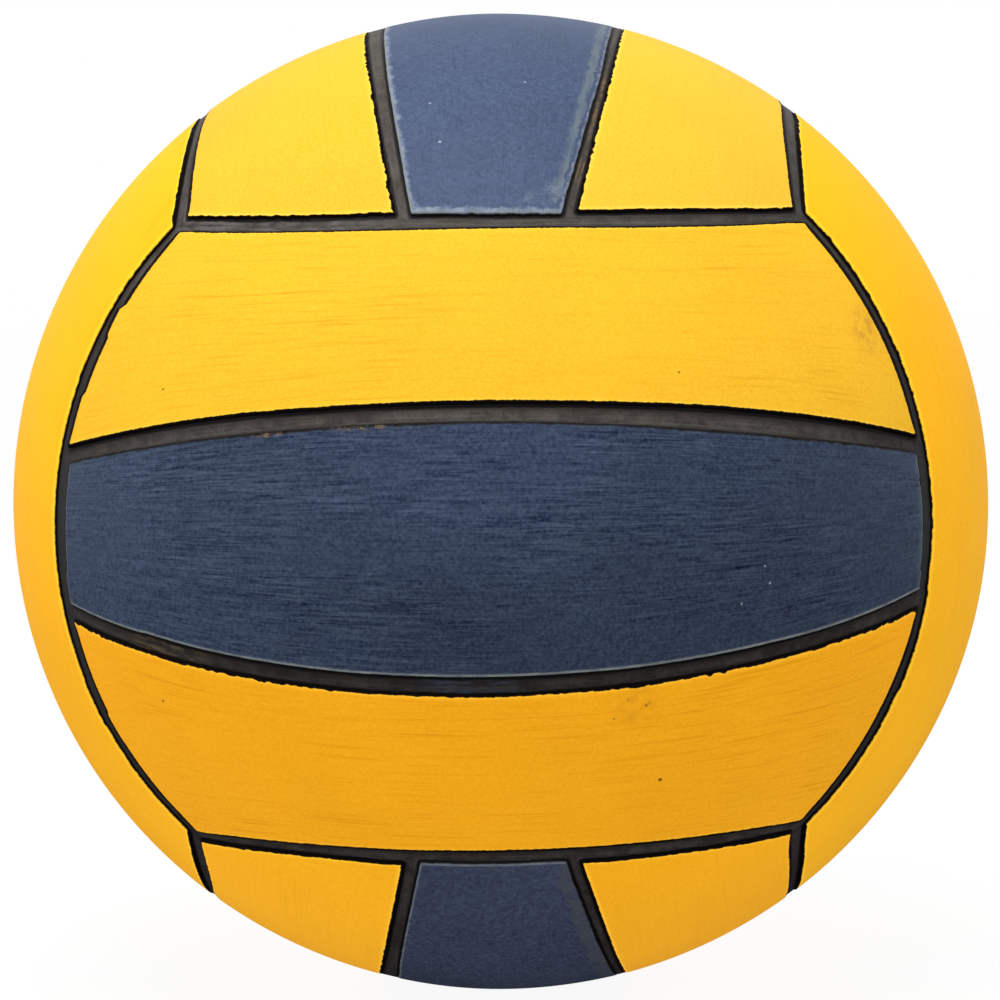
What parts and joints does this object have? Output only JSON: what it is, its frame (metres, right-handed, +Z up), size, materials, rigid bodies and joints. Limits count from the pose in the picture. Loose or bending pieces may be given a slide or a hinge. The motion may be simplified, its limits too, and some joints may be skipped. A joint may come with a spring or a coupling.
{
  "type": "water polo ball",
  "caption": "Round rubber-covered ball with long blue and yellow panels between dark recessed channels, a thread-wound carcass, an air bladder and a pull-out needle valve.",
  "frame": {"origin": "centre of the ball", "axes": "+Z up; the group of panels that the picture shows faces -Y, with its strips level; +X points along the valve, out of the ball"},
  "size_m": [0.2199, 0.22, 0.22],
  "materials": {
    "yellow_cover_rubber": "satin",
    "blue_cover_rubber": "satin",
    "black_rubber": "matte",
    "plug_rubber": "satin",
    "nylon_thread": "satin",
    "butyl_rubber": "satin"
  },
  "bodies": {
    "ball": {"front_centre_panel": "blue_cover_rubber", "front_upper_panel": "yellow_cover_rubber", "front_lower_panel": "yellow_cover_rubber", "back_centre_panel": "blue_cover_rubber", "back_upper_panel": "yellow_cover_rubber", "back_lower_panel": "yellow_cover_rubber", "right_centre_panel": "blue_cover_rubber", "right_front_panel": "yellow_cover_rubber", "right_back_panel": "yellow_cover_rubber", "left_centre_panel": "blue_cover_rubber", "left_front_panel": "yellow_cover_rubber", "left_back_panel": "yellow_cover_rubber", "top_centre_panel": "blue_cover_rubber", "top_left_panel": "yellow_cover_rubber", "top_right_panel": "yellow_cover_rubber", "bottom_centre_panel": "blue_cover_rubber", "bottom_left_panel": "yellow_cover_rubber", "bottom_right_panel": "yellow_cover_rubber", "channel_layer": "black_rubber", "thread_winding": "nylon_thread", "bladder": "butyl_rubber", "valve_seat": "black_rubber"},
    "plug": {"valve_plug": "plug_rubber"}
  },
  "joints": [
    {"name": "plug_pull", "type": "slide", "parent": "ball", "child": "plug", "axis": [1, 0, 0], "range_m": [0, 0.024]}
  ]
}
